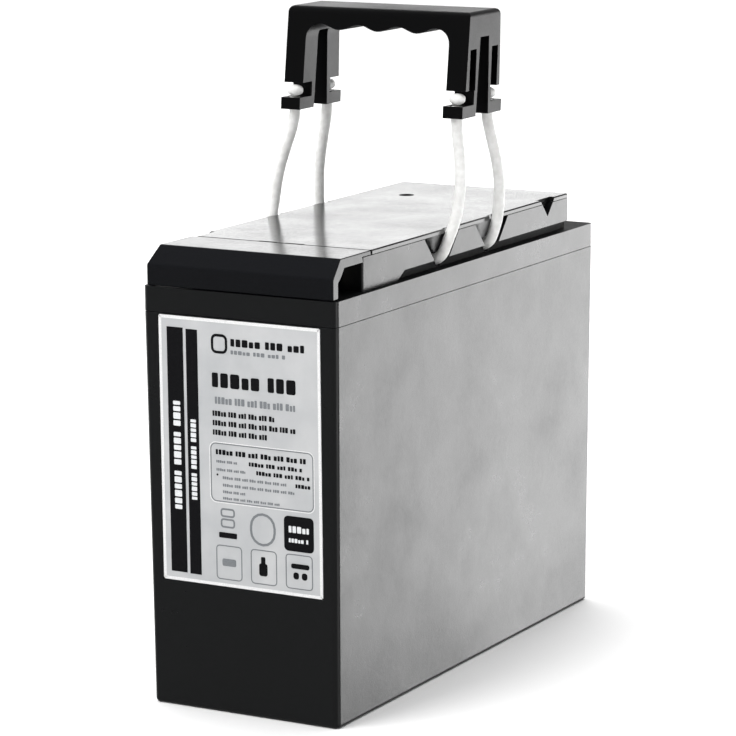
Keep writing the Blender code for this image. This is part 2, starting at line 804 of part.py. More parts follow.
def make_terminal(polarity, side):
    wide, deep, tall = TERMINAL_BLOCK
    x = side * TERMINAL_X
    post_y = FRONT + TERMINAL_Y
    face_y = post_y - deep / 2
    low_z = BOLT_Z - tall / 2
    name = f"{polarity}_terminal"

    def block(bm):
        add_box(bm, (x - wide / 2, face_y, low_z), (x + wide / 2, face_y + deep, low_z + tall))
        round_edges(bm, bm.edges[:], 0.0006, 1)

    def post(bm):
        add_disc(bm, POST_RADIUS, x, post_y, STRAP_TOP + GAP, low_z + tall / 4)

    def bolt_hole(bm):
        radius = BOLT_RADIUS + PIN_CLEARANCE
        add_rod(bm, radius, (x, face_y - deep, BOLT_Z), (x, face_y + 2 * deep, BOLT_Z))

    terminal = part(name, "tinned_brass", block)
    join(terminal, f"{polarity}_post", post)
    cut(terminal, f"{polarity}_bolt_hole", bolt_hole)
    settle(terminal, 30)

    washer_back = face_y - LUG_ROOM
    washer_front = washer_back - WASHER_THICKNESS

    def washer(bm):
        add_rod(bm, WASHER_RADIUS, (x, washer_back, BOLT_Z), (x, washer_front, BOLT_Z))

    def washer_hole(bm):
        radius = BOLT_RADIUS + PIN_CLEARANCE
        add_rod(bm, radius, (x, face_y, BOLT_Z), (x, washer_front - GAP, BOLT_Z))

    ring = part(f"{polarity}_washer", "steel", washer)
    cut(ring, f"{polarity}_washer_hole", washer_hole)
    settle(ring, 30)

    def local_rod(bm, radius, start, end, count):
        add_rod(bm, radius, (0.0, start, 0.0), (0.0, end, 0.0), count)

    head_back = washer_front - GAP
    head_front = head_back - HEAD_HEIGHT
    across_corners = HEAD_ACROSS_FLATS / math.cos(math.radians(30))
    bolt = part(
        f"{polarity}_bolt",
        "steel",
        lambda bm: local_rod(bm, across_corners / 2, head_front - face_y, head_back - face_y, 6),
    )
    shank = shape(
        f"{polarity}_shank",
        lambda bm: local_rod(
            bm, BOLT_RADIUS, head_front - face_y + HEAD_HEIGHT / 2, head_back - face_y + BOLT_LENGTH, 20
        ),
    )
    for piece in (bolt, shank):
        piece.location = (x, face_y, BOLT_Z)
    bpy.context.view_layer.update()
    combine(bolt, shank, "UNION")
    settle(bolt, 30)

    seal_top = low_z - GAP

    def seal(bm):
        add_disc(bm, SEAL_RADIUS, x, post_y, seal_top - SEAL_HEIGHT, seal_top)

    def seal_bore(bm):
        radius = POST_RADIUS + PIN_CLEARANCE
        add_disc(bm, radius, x, post_y, seal_top - 2 * SEAL_HEIGHT, seal_top + SEAL_HEIGHT)

    ring = part(f"{polarity}_seal", f"{polarity}_mark", seal)
    cut(ring, f"{polarity}_seal_bore", seal_bore)
    settle(ring, 30)


# Cells


def plate_stack():
    """The middle and thickness of each plate and separator sheet across a cell, in order."""
    count = 4 * POSITIVE_PLATES + 1
    plates = POSITIVE_PLATES * POSITIVE_THICKNESS + (POSITIVE_PLATES + 1) * NEGATIVE_THICKNESS
    sheet = (CELL_WIDTH - plates - (count + 1) * GAP) / (2 * POSITIVE_PLATES)
    kinds = ["negative", "separator", "positive", "separator"] * POSITIVE_PLATES + ["negative"]
    sizes = {"negative": NEGATIVE_THICKNESS, "positive": POSITIVE_THICKNESS, "separator": sheet}
    at = -CELL_WIDTH / 2
    stack = []
    for kind in kinds:
        at += GAP
        stack.append((kind, at + sizes[kind] / 2, sizes[kind]))
        at += sizes[kind]
    return stack


def strap_reach(kind):
    return max(abs(x) + thick / 2 for found, x, thick in plate_stack() if found == kind)


def positive_reach():
    return strap_reach("positive")


def negative_reach():
    return strap_reach("negative")


def plate_group(kind, strap_y):
    """The plates of one polarity, joined by their lugs and strap into one casting."""
    top = PLATE_BOTTOM + PLATE_HEIGHT
    reach = strap_reach(kind)

    def strap(bm):
        low = (-reach, strap_y - STRAP_LENGTH / 2, STRAP_BOTTOM)
        add_box(bm, low, (reach, strap_y + STRAP_LENGTH / 2, STRAP_TOP))

    def lugs(bm):
        for found, x, thick in plate_stack():
            if found == kind:
                low = (x - thick / 2 + GAP, strap_y - LUG_LENGTH / 2, top - LUG_HEIGHT)
                high = (x + thick / 2 - GAP, strap_y + LUG_LENGTH / 2, STRAP_BOTTOM + STRAP_HEIGHT / 2)
                add_box(bm, low, high)

    def plates(bm):
        for found, x, thick in plate_stack():
            if found == kind:
                low = (x - thick / 2, -PLATE_LENGTH / 2, PLATE_BOTTOM)
                add_box(bm, low, (x + thick / 2, PLATE_LENGTH / 2, top))

    group = shape(f"{kind}_strap", strap)
    join(group, f"{kind}_lugs", lugs)
    join(group, f"{kind}_plates", plates)
    settle(group)
    group.data.materials.clear()
    group.data.materials.append(finish(f"{kind}_paste"))
    return group.data


def separator_mat():
    """One mat folded between the plates, turning round a plate's edge at alternate ends."""
    sheets = [(x, thick) for kind, x, thick in plate_stack() if kind == "separator"]
    end = PLATE_LENGTH / 2 + GAP + SEPARATOR_TURN
    top = PLATE_BOTTOM + PLATE_HEIGHT + SEPARATOR_RISE

    def folds(bm):
        for x, thick in sheets[0::2]:
            add_box(bm, (x - thick / 2, -end, PLATE_BOTTOM), (x + thick / 2, end, top))

    def returns(bm):
        for x, thick in sheets[1::2]:
            add_box(bm, (x - thick / 2, -end, PLATE_BOTTOM), (x + thick / 2, end, top))

    def turns(bm):
        for number, (near, far) in enumerate(zip(sheets, sheets[1:])):
            way = -1 if number % 2 else 1
            low_y, high_y = sorted((way * (end - SEPARATOR_TURN), way * end))
            add_box(bm, (near[0], low_y, PLATE_BOTTOM), (far[0], high_y, top))

    mat = shape("mat_folds", folds)
    join(mat, "mat_turns", turns)
    join(mat, "mat_returns", returns)
    settle(mat)
    mat.data.materials.clear()
    mat.data.materials.append(finish("glass_mat"))
    return mat.data


def cell_tour():
    """The cells' middles in the order of the circuit: back along the left, forward on the right."""
    rows = cell_rows()
    return [(-CELL_X, y) for y in rows] + [(CELL_X, y) for y in reversed(rows)]


def make_cells():
    meshes = {
        "positive_plates": plate_group("positive", -STRAP_Y),
        "negative_plates": plate_group("negative", STRAP_Y),
        "separator_mat": separator_mat(),
    }
    for number, (x, y) in enumerate(cell_tour(), 1):
        for kind, mesh in meshes.items():
            piece = hold(f"cell_{number}_{kind}", mesh, PARTS)
            piece.location = (x, y, 0.0)
            piece.rotation_euler.z = math.pi if x > 0 else 0.0
    for number, (low, high) in enumerate(link_spans(), 1):

        def link(bm, low=low, high=high):
            add_box(bm, low, high)

        part(f"intercell_link_{number}", "lead", link)


# Handle


def handle_front_outline():
    """The handle from the front: a grip with a waved underside on two legs."""
    inner = HANDLE_HALF_WIDTH - LEG_WIDTH
    low = FOOT_BOTTOM
    over = HANDLE_TOP + GAP
    under = HANDLE_TOP - GRIP_THICKNESS
    wave_end = 1.5 * FINGER_PITCH
    steps = 36
    wave = []
    for step in range(steps + 1):
        x = wave_end - 2 * wave_end * step / steps
        wave.append((x, under - GRIP_WAVE * math.cos(2 * math.pi * x / FINGER_PITCH)))
    radius = min(ARCH_RADIUS, inner - wave_end)
    arch = filleted([(inner, low, 0.0), (inner, under, radius), (wave_end, under + GRIP_WAVE, 0.0)], 5)
    right_arch = arch[:-1]
    left_arch = [(-x, z) for x, z in reversed(right_arch)]
    top = filleted(
        [
            (-HANDLE_HALF_WIDTH, low, 0.0),
            (-HANDLE_HALF_WIDTH, over, HANDLE_ROUND),
            (HANDLE_HALF_WIDTH, over, HANDLE_ROUND),
            (HANDLE_HALF_WIDTH, low, 0.0),
        ]
    )
    return top + right_arch + wave + left_arch


def window_low():
    return FOOT_BOTTOM + FOOT_HEIGHT


def window_high():
    return window_low() + NOTCH_GAP


def half_depth(height):
    """How far the legs' outer faces lie from the handle's middle at a height."""
    share = (HANDLE_TOP - height) / (HANDLE_TOP - window_high())
    return HALF_DEPTH_TOP + (HALF_DEPTH_BOTTOM - HALF_DEPTH_TOP) * share


def handle_side_outline():
    high = window_high()
    rounded = HANDLE_ROUND
    return filleted(
        [
            (-HALF_DEPTH_FOOT, FOOT_BOTTOM - FOOT_HEIGHT, 0.0),
            (HALF_DEPTH_FOOT, FOOT_BOTTOM - FOOT_HEIGHT, 0.0),
            (HALF_DEPTH_FOOT, window_low() + GAP, 0.0),
            (HALF_DEPTH_BOTTOM, high, 0.0),
            (HALF_DEPTH_TOP, HANDLE_TOP, rounded),
            (-HALF_DEPTH_TOP, HANDLE_TOP, rounded),
            (-HALF_DEPTH_BOTTOM, high, 0.0),
            (-HALF_DEPTH_FOOT, window_low() + GAP, 0.0),
        ],
        3,
    )


def leg_gap(bm):
    """The space between the front and back legs, up to just under the grip."""
    top = HANDLE_TOP - GRIP_THICKNESS - 2 * GRIP_WAVE
    below = FOOT_BOTTOM - FOOT_HEIGHT
    outline = [
        (-half_depth(below) + LEG_DEPTH, below),
        (half_depth(below) - LEG_DEPTH, below),
        (half_depth(top) - LEG_DEPTH, top),
        (-half_depth(top) + LEG_DEPTH, top),
    ]
    add_prism(bm, outline, ALONG_X, -2 * HANDLE_HALF_WIDTH, 2 * HANDLE_HALF_WIDTH)


def leg_places():
    return [(side, way) for side in sides() for way in sides()]


def leg_middle():
    return HANDLE_HALF_WIDTH - LEG_WIDTH / 2


def foot_rope_y():
    """From the handle's middle to a rope's axis in its foot."""
    return HALF_DEPTH_FOOT - FOOT_LIP - ROPE_CLEARANCE - ROPE_DIAMETER / 2


def stop_windows(bm):
    for side, way in leg_places():
        inner = half_depth(window_low()) - LEG_DEPTH + LEG_WEB
        outer = HALF_DEPTH_FOOT + LEG_WEB
        low_y, high_y = sorted((way * inner, way * outer))
        low_x, high_x = sorted((side * (HANDLE_HALF_WIDTH - 2 * LEG_WIDTH), side * 2 * HANDLE_HALF_WIDTH))
        add_box(bm, (low_x, low_y, window_low()), (high_x, high_y, window_high()))


def foot_holes(bm):
    """A round hole up through each foot for the end of a rope."""
    radius = ROPE_DIAMETER / 2 + ROPE_CLEARANCE
    low, high = FOOT_BOTTOM - FOOT_HEIGHT, window_low() + FOOT_HEIGHT / 2
    for side, way in leg_places():
        add_disc(bm, radius, side * leg_middle(), way * foot_rope_y(), low, high)


def leg_channels(bm):
    """A groove up the outside of each leg, open to the window below it."""
    low, high = window_high() - GAP, window_high() + LEG_CHANNEL_HEIGHT
    for side, way in leg_places():
        middle = (half_depth(low) + half_depth(high)) / 2 - LEG_DEPTH / 2
        half = LEG_DEPTH / 2 - LEG_WEB
        low_y, high_y = sorted((way * (middle - half), way * (middle + half)))
        inner = side * (HANDLE_HALF_WIDTH - LEG_CHANNEL_DEPTH)
        low_x, high_x = sorted((inner, side * 2 * HANDLE_HALF_WIDTH))
        add_box(bm, (low_x, low_y, low), (high_x, high_y, high))


def lean(target):
    """Leans the handle back and moves it to its place over the lid."""
    tall = HANDLE_TOP - FOOT_BOTTOM
    for vert in target.data.vertices:
        vert.co.y += HANDLE_Y + HANDLE_LEAN * (vert.co.z - window_low()) / tall


def make_handle():
    wide = 2 * HALF_DEPTH_FOOT
    handle = part(
        "handle",
        "handle_black",
        lambda bm: add_prism(bm, handle_front_outline(), ALONG_Y, -wide, wide),
    )
    wide = 2 * HANDLE_HALF_WIDTH
    side_form = shape(
        "handle_sides", lambda bm: add_prism(bm, handle_side_outline(), ALONG_X, -wide, wide)
    )
    combine(handle, side_form, "INTERSECT")
    cut(handle, "leg_gap", leg_gap)
    cut(handle, "stop_windows", stop_windows)
    cut(handle, "foot_holes", foot_holes)
    cut(handle, "leg_channels", leg_channels)
    settle(handle, 30)
    lean(handle)


def make_rope_stops():
    bm = bmesh.new()
    bmesh.ops.create_uvsphere(bm, u_segments=16, v_segments=8, radius=STOP_RADIUS)
    bmesh.ops.scale(bm, vec=(1.0, 1.0, STOP_HEIGHT / 2 / STOP_RADIUS), verts=bm.verts)
    mesh = bpy.data.meshes.new("rope_stop")
    bm.to_mesh(mesh)
    bm.free()
    mesh.materials.append(finish("rope_white"))
    mesh.shade_smooth()
    names = {(-1, -1): "front_left", (1, -1): "front_right", (-1, 1): "back_left", (1, 1): "back_right"}
    for (side, way), name in names.items():
        stop = hold(f"{name}_rope_stop", mesh, PARTS)
        height = window_low() + GAP + STOP_HEIGHT / 2
        shift = HANDLE_Y + HANDLE_LEAN * (height - window_low()) / (HANDLE_TOP - FOOT_BOTTOM)
        stop.location = (side * leg_middle(), shift + way * foot_rope_y(), height)


# Ropes


def smooth_route(route, step):
    """Points on a smooth curve through the route, about a step apart."""
    ends = [2 * route[0] - route[1], *route, 2 * route[-1] - route[-2]]
    points = []
    for p0, p1, p2, p3 in zip(ends, ends[1:], ends[2:], ends[3:]):
        count = max(1, round((p2 - p1).length / step))
        for i in range(count):
            t = i / count
            slope, bend = (p2 - p0) / 2, 2 * p0 - 5 * p1 + 4 * p2 - p3
            twist = 3 * (p1 - p2) + p3 - p0
            points.append(p1 + slope * t + bend / 2 * t * t + twist / 2 * t * t * t)
    points.append(route[-1])
    return points


def make_rope(name, half_route):
    right = [Vector(point) for point in half_route]
    left = [Vector((-p.x, p.y, p.z)) for p in reversed(right[1:])]
    points = smooth_route(left + right, 2 * ROPE_DIAMETER)
    curve = bpy.data.curves.new(name, "CURVE")
    curve.dimensions = "3D"
    curve.bevel_depth = ROPE_DIAMETER / 2
    curve.bevel_resolution = 2
    curve.use_fill_caps = True
    spline = curve.splines.new("POLY")
    spline.points.add(len(points) - 1)
    for point, place in zip(spline.points, points):
        point.co = (*place, 1.0)
    rope = bpy.data.objects.new(name, curve)
    PARTS.objects.link(rope)
    curve.materials.append(finish("rope_white"))
    spline.use_smooth = True


clear_scene()
PARTS = collection("deep_cycle_battery")
CUTTERS = collection("cutters")
make_case()
make_lid()
make_top_plate()
make_vent()
make_valve_caps()
make_terminal_cover()
make_terminal("positive", -1)
make_terminal("negative", 1)
make_cells()
make_handle()
make_rope_stops()
make_rope("front_rope", FRONT_ROUTE)
make_rope("back_rope", BACK_ROUTE)
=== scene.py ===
"""Deep cycle battery: finished mouldings, ropes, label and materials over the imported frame."""

import json
import math

import bmesh
import bpy
from mathutils import Matrix, Vector


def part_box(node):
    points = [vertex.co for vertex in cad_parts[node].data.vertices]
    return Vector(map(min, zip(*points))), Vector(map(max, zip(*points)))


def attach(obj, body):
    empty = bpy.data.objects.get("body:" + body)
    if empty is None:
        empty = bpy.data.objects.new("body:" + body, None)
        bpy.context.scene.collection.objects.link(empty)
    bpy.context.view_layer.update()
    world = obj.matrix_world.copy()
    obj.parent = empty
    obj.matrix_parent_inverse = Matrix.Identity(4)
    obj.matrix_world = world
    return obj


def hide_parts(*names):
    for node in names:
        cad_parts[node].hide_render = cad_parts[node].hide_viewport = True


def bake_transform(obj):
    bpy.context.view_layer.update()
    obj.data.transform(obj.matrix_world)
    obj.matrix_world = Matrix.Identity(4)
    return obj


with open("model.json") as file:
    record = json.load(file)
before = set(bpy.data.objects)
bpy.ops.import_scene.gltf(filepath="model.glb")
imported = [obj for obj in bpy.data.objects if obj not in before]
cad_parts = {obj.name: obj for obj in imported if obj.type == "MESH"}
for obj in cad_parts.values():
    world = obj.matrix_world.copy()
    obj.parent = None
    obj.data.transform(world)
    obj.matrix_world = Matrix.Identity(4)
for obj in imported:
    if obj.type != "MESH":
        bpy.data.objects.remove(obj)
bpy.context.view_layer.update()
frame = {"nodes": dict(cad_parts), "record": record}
NODES = frame["nodes"]
STORE = bpy.context.scene.collection

# Camera
CAMERA_PLACE = Vector((0.8231, -1.4975, 0.4782))
CAMERA_TURN = math.radians(29.01)
CAMERA_TILT = math.radians(10.98)
CAMERA_ROLL = math.radians(-0.35)
CAMERA_LENS = 167.8
CAMERA_SENSOR = 36.0
CAMERA_REACH = 50.0

# Floor and lights
FLOOR_SIZE = 40.0
BATTERY_MIDDLE = (0.0, 0.0, 0.12)
# Each softbox: place, aim, width, height, radiance, and whether glossy plastic reflects it
SOFTBOXES = {
    "side_softbox": ((0.56, 1.98, -0.05), (0.05, 0.0, -0.05), 1.9, 1.3, 4.9, True),
    "rear_softbox": ((-1.3, 2.5, 1.05), (0.0, 0.0, 0.22), 2.6, 1.1, 2.0, True),
    "overhead_softbox": ((-0.28, 0.5, 2.2), BATTERY_MIDDLE, 0.9, 0.9, 2.2, True),
    "right_panel": ((2.2, -0.1, 0.0), (0.0, -0.1, 0.0), 1.3, 1.2, 1.6, True),
    "left_panel": ((-2.2, 0.5, 0.0), (0.0, 0.1, 0.0), 1.3, 1.2, 1.8, True),
    "back_panel": ((-0.5, 2.6, -0.1), (0.0, 0.0, -0.1), 1.2, 1.0, 1.6, True),
    "key_softbox": ((-0.8, -1.6, 1.9), BATTERY_MIDDLE, 1.2, 1.2, 8.0, False),
}
CEILING_STRENGTH = 3.2
CEILING_SPREAD = math.radians(70)
CEILING_TILT = (math.radians(-8), math.radians(-6), 0.0)
STUDIO_STRENGTH = 0.22

# Ropes: right halves of their routes, from the middle of the lid out and up to the handle
ROPE_RADIUS = 0.0029
FRONT_ROUTE = [
    (0.0, -0.0260, 0.2097), (0.0150, -0.0260, 0.2097), (0.0300, -0.0260, 0.2097),
    (0.0400, -0.0260, 0.2097), (0.0452, -0.0260, 0.2097), (0.0486, -0.0250, 0.2124),
    (0.0504, -0.0225, 0.2185), (0.0514, -0.0196, 0.2240), (0.0520, -0.0160, 0.2315),
    (0.0520, -0.0130, 0.2410), (0.0512, -0.0104, 0.2495), (0.0493, -0.0079, 0.2585),
    (0.0473, -0.0058, 0.2670), (0.0462, -0.0047, 0.2745), (0.0461, -0.0045, 0.2828),
]  # fmt: skip
BACK_ROUTE = [
    (0.0, 0.0260, 0.2097), (0.0150, 0.0260, 0.2097), (0.0300, 0.0260, 0.2097),
    (0.0400, 0.0260, 0.2097), (0.0452, 0.0260, 0.2097), (0.0488, 0.0266, 0.2124),
    (0.0507, 0.0279, 0.2185), (0.0517, 0.0289, 0.2240), (0.0521, 0.0297, 0.2315),
    (0.0521, 0.0300, 0.2410), (0.0511, 0.0299, 0.2495), (0.0493, 0.0294, 0.2585),
    (0.0474, 0.0288, 0.2670), (0.0462, 0.0282, 0.2745), (0.0461, 0.0285, 0.2828),
]  # fmt: skip
ROPE_RING_STEP = 0.0006
ROPE_SIDES = 24
BRAID_STRANDS = 4
BRAID_PITCH = 0.0110
BRAID_RELIEF = 0.00022
BRAID_CROSSING = 4  # how quickly one strand gives way to the next
STOP_LOBES = 7
STOP_LOBE_DEPTH = 0.025
STOP_TWIST = 9

# Case
CASE_HALF_WIDTH = 0.053
CASE_HALF_LENGTH = 0.139
CASE_HEIGHT = 0.1937
CASE_DRAFT = 0.0015
CASE_CORNER = 0.003
CASE_FOOT = 0.002
CASE_WALL = 0.003
CASE_FLOOR = 0.004
PARTITION = 0.0025
PARTITION_DROP = 0.0115  # from the case's rim down to the partitions' tops
LABEL_SIDE = 0.0446
LABEL_FOOT = 0.0627
LABEL_HEAD = 0.1933
LABEL_RECESS = 0.0005

# Lid: the ledge, and the shadow strips and pry notches behind the raised block's sides, which are given
# painted shade
LEDGE = 0.2060
LEDGE_MARGIN = 0.0003
RECESS_BACK = 0.0464
RECESS_FRONT = 0.0494
STRIP_HEAD = 0.2105
NOTCH_Y = 0.0910
NOTCH_HALF = 0.0086
NOTCH_FOOT = 0.2150
LEDGE_LEVEL = 0.9  # the ledge's faces have a normal.z above this
NOTCH_LEVEL = 0.95  # and a notch's faces one below this
VENT_RISE = 0.0005
VENT_ROUNDING = 0.8

# Edges, and the steps that round them off
MERGE = 1e-6
FLAT_ANGLE = math.radians(0.5)
SHARP_ANGLE = math.radians(33)
SQUARE_ON = 0.99  # how nearly a face looks along a direction, as a cosine
CASE_RIM_EDGE = 0.0003
LID_EDGE = 0.0004
PLATE_EDGE = 0.0003
COVER_EDGE = 0.0005
GRIP_EDGE = 0.0007
TERMINAL_EDGE = 0.0004
WASHER_EDGE = 0.0001
BOLT_EDGE = 0.0003
SEAL_EDGE = 0.0003
CORNER_STEPS = 8
ROUND_STEPS = 5
PATCH_STEPS = 4
MOULDED_STEPS = 3
PLAIN_STEPS = 2
ROUND_SIDES = 64
STOP_SIDES = 48

# Angles in degrees under which neighbouring faces are shaded as one surface
CRISP = 30
MOULDED = 40
ROUND = 60

# Label: thicknesses in metres, and the rhythm of its print. Its layout is in millimetres
INK_THICKNESS = 0.00006
INK_LIFT = 0.00002
LABEL_THICKNESS = 0.0003
MM = 1000  # in a metre
BLOCK_WIDTHS = (0.8, 1.0, 1.2, 0.9, 1.1)  # in strokes
BLOCK_DROPS = (0.0, 0.0, 0.0, 0.2, 0.12)  # the share that a block's top lies lower
WORD_RHYTHM = (5, 3, 0.3, 1.1)  # blocks in the first and in later groups, gap and space in strokes
RUNG_RHYTHM = (6, 5, 0.28, 1.2)
WORD_ROUNDING = 0.2
RUNG_ROUNDING = 0.18


# Materials


def new_material(name, colour, roughness, metallic=0.0, specular=0.5):
    """A Principled material, with the sockets that are the same all over set on the shader."""
    material = bpy.data.materials.new(name)
    material.use_nodes = True
    shader = material.node_tree.nodes["Principled BSDF"]
    shader.inputs["Base Color"].default_value = (*colour, 1.0)
    shader.inputs["Roughness"].default_value = roughness
    shader.inputs["Metallic"].default_value = metallic
    shader.inputs["Specular IOR Level"].default_value = specular
    material.diffuse_color = (*colour, 1.0)
    return material, shader


def add_node(material, kind, **values):
    """Adds a node. A value sets the node's property of that name, or else its input."""
    node = material.node_tree.nodes.new(kind)
    for key, value in values.items():
        if hasattr(node, key):
            setattr(node, key, value)
        else:
            node.inputs[key.replace("_", " ").title()].default_value = value
    return node


def link(material, output, target):
    material.node_tree.links.new(output, target)


def place(material):
    """The material's Object coordinates, from one node that its patterns share."""
    for node in material.node_tree.nodes:
        if node.type == "TEX_COORD":
            return node.outputs["Object"]
    return add_node(material, "ShaderNodeTexCoord").outputs["Object"]


def noise(material, scale, detail=3.0, roughness=0.5, stretch=None):
    """A noise pattern on Object coordinates. stretch scales it along X, Y and Z."""
    texture = add_node(material, "ShaderNodeTexNoise", scale=scale, detail=detail, roughness=roughness)
    source = place(material)
    if stretch:
        mapping = add_node(material, "ShaderNodeMapping", scale=stretch)
        link(material, source, mapping.inputs["Vector"])
        source = mapping.outputs["Vector"]
    link(material, source, texture.inputs["Vector"])
    return texture.outputs["Fac"]


def spread(material, value, low=0.0, high=1.0, start=0.3, end=0.7):
    """Maps a 0 to 1 pattern between start and end onto low to high."""
    ranged = add_node(
        material, "ShaderNodeMapRange", from_min=start, from_max=end, to_min=low, to_max=high
    )
    link(material, value, ranged.inputs["Value"])
    return ranged.outputs["Result"]


def colour_by(material, shader, pattern, first, second):
    """Colours the surface from first to second as a pattern goes from 0 to 1."""
    mix = add_node(material, "ShaderNodeMix", data_type="RGBA")
    mix.inputs["A"].default_value = (*first, 1.0)
    mix.inputs["B"].default_value = (*second, 1.0)
    link(material, pattern, mix.inputs["Factor"])
    link(material, mix.outputs["Result"], shader.inputs["Base Color"])


def roughen_by(material, shader, pattern, low, high):
    """Lets the roughness follow a pattern from low to high."""
    link(material, spread(material, pattern, low, high), shader.inputs["Roughness"])


def combine(material, operation, first, second):
    math_node = add_node(material, "ShaderNodeMath", operation=operation)
    link(material, first, math_node.inputs[0])
    link(material, second, math_node.inputs[1])
    return math_node.outputs["Value"]


def raise_surface(material, shader, height, distance, strength=1.0, under=None):
    bump = add_node(material, "ShaderNodeBump", strength=strength, distance=distance)
    link(material, height, bump.inputs["Height"])
    if under:
        link(material, under, bump.inputs["Normal"])
    link(material, bump.outputs["Normal"], shader.inputs["Normal"])
    return bump.outputs["Normal"]


def tinted(colour, factor):
    return tuple(min(1.0, part * factor) for part in colour)


def edge_mask(material, radius):
    """How far the surface turns within a radius: 0 on a flat face, 1 on a corner."""
    rounded = add_node(material, "ShaderNodeBevel", samples=4, radius=radius)
    flat = add_node(material, "ShaderNodeNewGeometry")
    dot = add_node(material, "ShaderNodeVectorMath", operation="DOT_PRODUCT")
    link(material, rounded.outputs["Normal"], dot.inputs[0])
    link(material, flat.outputs["Normal"], dot.inputs[1])
    return spread(material, dot.outputs["Value"], low=1.0, high=0.0, start=0.80, end=0.995)


def moulded_plastic(name, colour, roughness, grain, specular, wear):
    """Black ABS with a fine moulded grain, cloudy gloss and slightly rubbed edges."""
    material, shader = new_material(name, colour, roughness, specular=specular)
    clouds = noise(material, scale=26.0, detail=5.0, roughness=0.62)
    specks = noise(material, scale=620.0, detail=2.0)
    handled = noise(material, scale=90.0, detail=4.0)
    worn = combine(
        material, "MULTIPLY",
        edge_mask(material, radius=0.0010),
        spread(material, handled, high=wear, start=0.42, end=0.66),
    )  # fmt: skip
    rubbed = tuple(part * 2.6 + 0.012 for part in colour)
    colour_by(material, shader, worn, colour, rubbed)
    gloss = combine(
        material, "ADD",
        spread(material, clouds, low=roughness - 0.04, high=roughness + 0.05),
        spread(material, specks, low=-0.02, high=0.02),
    )  # fmt: skip
    link(material, gloss, shader.inputs["Roughness"])
    skin = noise(material, scale=1500.0, detail=3.0, roughness=0.6)
    fine = raise_surface(material, shader, skin, distance=grain)
    raise_surface(material, shader, clouds, distance=0.0003, strength=0.5, under=fine)
    return material


def label_film():
    """Silvered label film, faintly brushed upwards."""
    material, shader = new_material("label_silver", (0.62, 0.63, 0.645), 0.34)
    cloudy = spread(material, noise(material, scale=55.0, detail=4.0))
    colour_by(material, shader, cloudy, (0.44, 0.45, 0.46), (0.52, 0.525, 0.53))
    brushed = noise(material, scale=240.0, detail=3.0, roughness=0.6, stretch=(1.0, 1.0, 0.12))
    roughen_by(material, shader, brushed, 0.28, 0.42)
    raise_surface(material, shader, noise(material, scale=70.0, detail=2.0), distance=0.0002)
    return material


def ink(name, colour):
    """Printed ink with a fine screen grain."""
    material, shader = new_material(name, colour, 0.5, specular=0.1)
    grainy = spread(material, noise(material, scale=2200.0, detail=2.0))
    colour_by(material, shader, grainy, colour, tuple(part * 1.2 + 0.003 for part in colour))
    roughen_by(material, shader, noise(material, scale=180.0), 0.36, 0.5)
    return material


def rope_fibre():
    """White braided fibre, soft in the light, with fine threads along the rope."""
    material, shader = new_material("rope_white", (0.86, 0.86, 0.85), 0.5)
    shaded = spread(material, noise(material, scale=320.0, detail=4.0))
    colour_by(material, shader, shaded, (0.78, 0.78, 0.76), (0.92, 0.92, 0.91))
    shader.inputs["Sheen Weight"].default_value = 0.25
    shader.inputs["Sheen Roughness"].default_value = 0.4
    shader.inputs["Subsurface Weight"].default_value = 0.08
    shader.inputs["Subsurface Radius"].default_value = (0.001, 0.001, 0.001)
    shader.inputs["Subsurface Scale"].default_value = 0.5
    threads = noise(material, scale=5200.0, detail=2.0, stretch=(1.0, 1.0, 0.2))
    raise_surface(material, shader, threads, distance=0.0001)
    return material


def cast_metal(name, colour, roughness, metallic, lumps):
    """Lead, tinned brass or steel: dull patches, fine scratches and a slightly lumpy skin."""
    material, shader = new_material(name, colour, roughness, metallic)
    patches = noise(material, scale=140.0, detail=5.0, roughness=0.6)
    colour_by(material, shader, spread(material, patches), tinted(colour, 0.78), tinted(colour, 1.12))
    scratched = noise(material, scale=900.0, detail=2.0, stretch=(1.0, 0.15, 1.0))
    roughen_by(material, shader, scratched, roughness - 0.08, roughness + 0.1)
    raise_surface(material, shader, patches, distance=lumps)
    return material


def dry_paste(name, colour, roughness):
    """Crumbly and matte: cured paste, glass fibre, rubber or sintered grains."""
    material, shader = new_material(name, colour, roughness)
    crumbs = noise(material, scale=700.0, detail=6.0, roughness=0.7)
    colour_by(material, shader, spread(material, crumbs), tinted(colour, 0.7), tinted(colour, 1.3))
    dusty = noise(material, scale=90.0)
    roughen_by(material, shader, dusty, roughness - 0.1, min(1.0, roughness + 0.1))
    raise_surface(material, shader, crumbs, distance=0.0004)
    return material


# Colour, roughness, depth of the moulded grain, specular level, wear along the edges
PLASTICS = {
    "case_black": ((0.0045, 0.0050, 0.0055), 0.32, 0.00004, 0.5, 0.3),
    "lid_black": ((0.0045, 0.0050, 0.0055), 0.30, 0.00004, 0.5, 0.3),
    "plate_black": ((0.0060, 0.0065, 0.0070), 0.16, 0.00001, 0.5, 0.3),
    "cover_black": ((0.0030, 0.0034, 0.0046), 0.17, 0.00001, 0.38, 0.3),
    "handle_black": ((0.0015, 0.0015, 0.0018), 0.44, 0.00003, 0.24, 0.3),
    "positive_mark": ((0.55, 0.02, 0.02), 0.45, 0.00005, 0.5, 0.1),
    "negative_mark": ((0.02, 0.05, 0.30), 0.45, 0.00005, 0.5, 0.1),
    "vent_grey": ((0.012, 0.012, 0.013), 0.18, 0.00001, 0.5, 0.3),
    # Painted shade: a darker, duller black for the lid's ledge, shadow strips and pry notches, in place
    # of the shade there
    "lid_recess_painted_shade": ((0.0030, 0.0032, 0.0035), 0.62, 0.00012, 0.12, 0.0),
}
# Colour, roughness, metallic value, height of the lumps
METALS = {
    "lead": ((0.33, 0.34, 0.36), 0.5, 0.9, 0.0006),
    "tinned_brass": ((0.74, 0.71, 0.64), 0.3, 1.0, 0.0003),
    "steel": ((0.62, 0.62, 0.63), 0.3, 1.0, 0.0001),
}
